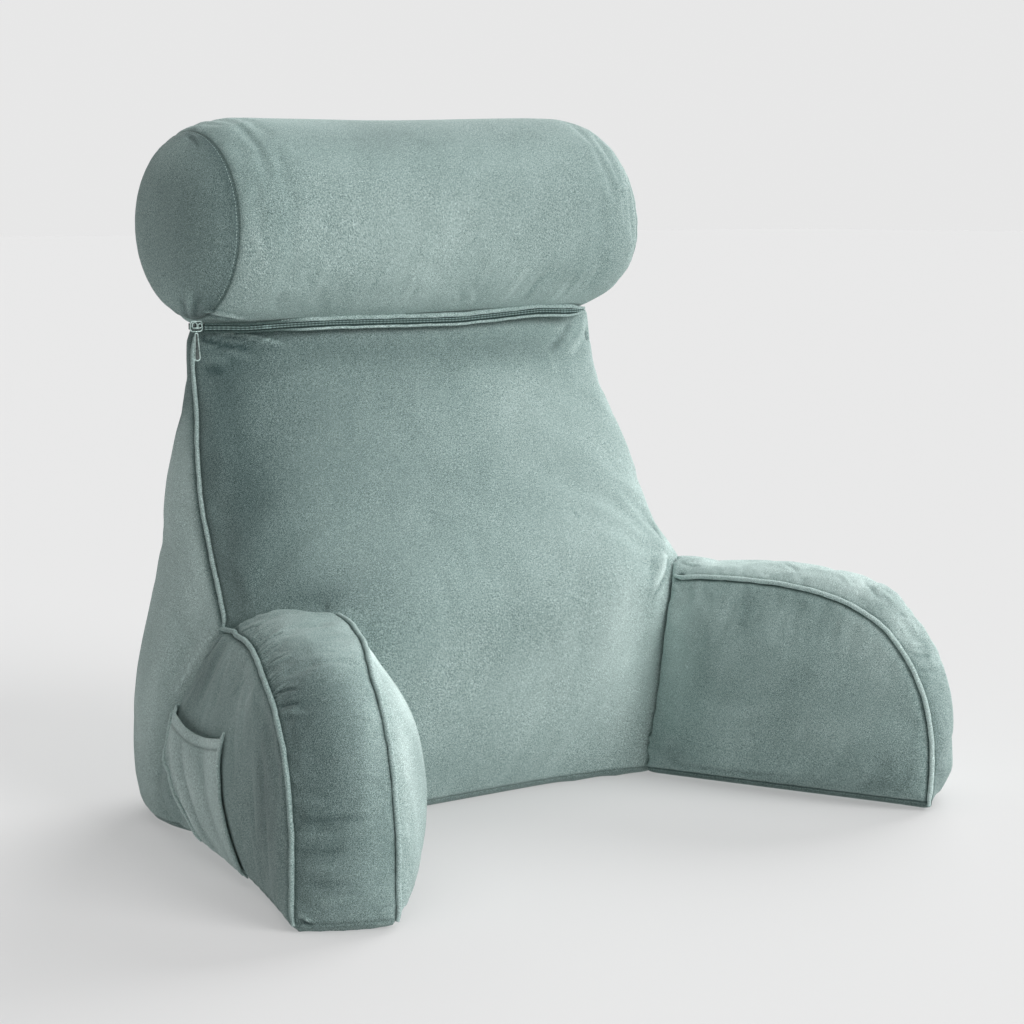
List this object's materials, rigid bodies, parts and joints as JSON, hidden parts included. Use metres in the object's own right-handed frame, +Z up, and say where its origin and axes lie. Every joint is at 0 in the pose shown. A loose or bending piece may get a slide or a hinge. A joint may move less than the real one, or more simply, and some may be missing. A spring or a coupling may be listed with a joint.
{
  "type": "reading pillow with arms",
  "caption": "Velvet reading pillow with a sloping back, splayed arms, a neck roll zipped to the top and a side pocket, to sit up against in bed.",
  "frame": {"origin": "on the surface the pillow rests on, below the middle of its bounding box", "axes": "+Z up, -Y towards the side the reader sits on, +X along the neck roll towards the reader's left"},
  "size_m": [0.6882, 0.4853, 0.583],
  "materials": {
    "velvet": "short-pile velvet, sage green",
    "zip_tape": "woven tape, dark green",
    "zip_coil": "nylon coil, dark green",
    "zip_enamel": "satin enamel, sage green"
  },
  "bodies": {
    "root": {"back_cushion": "velvet", "neck_roll": "velvet", "arm_left": "velvet", "arm_right": "velvet", "piping_back_left": "velvet", "piping_back_right": "velvet", "piping_arm_inner_left": "velvet", "piping_arm_inner_right": "velvet", "piping_arm_outer_left": "velvet", "piping_arm_outer_right": "velvet", "pocket": "velvet", "pocket_seam_front": "velvet", "pocket_seam_rear": "velvet", "zip_lip_upper": "velvet", "zip_lip_lower": "velvet", "zip_tape": "zip_tape", "zip_coil": "zip_coil", "zip_slider": "zip_enamel", "zip_pull": "zip_enamel"}
  },
  "joints": []
}
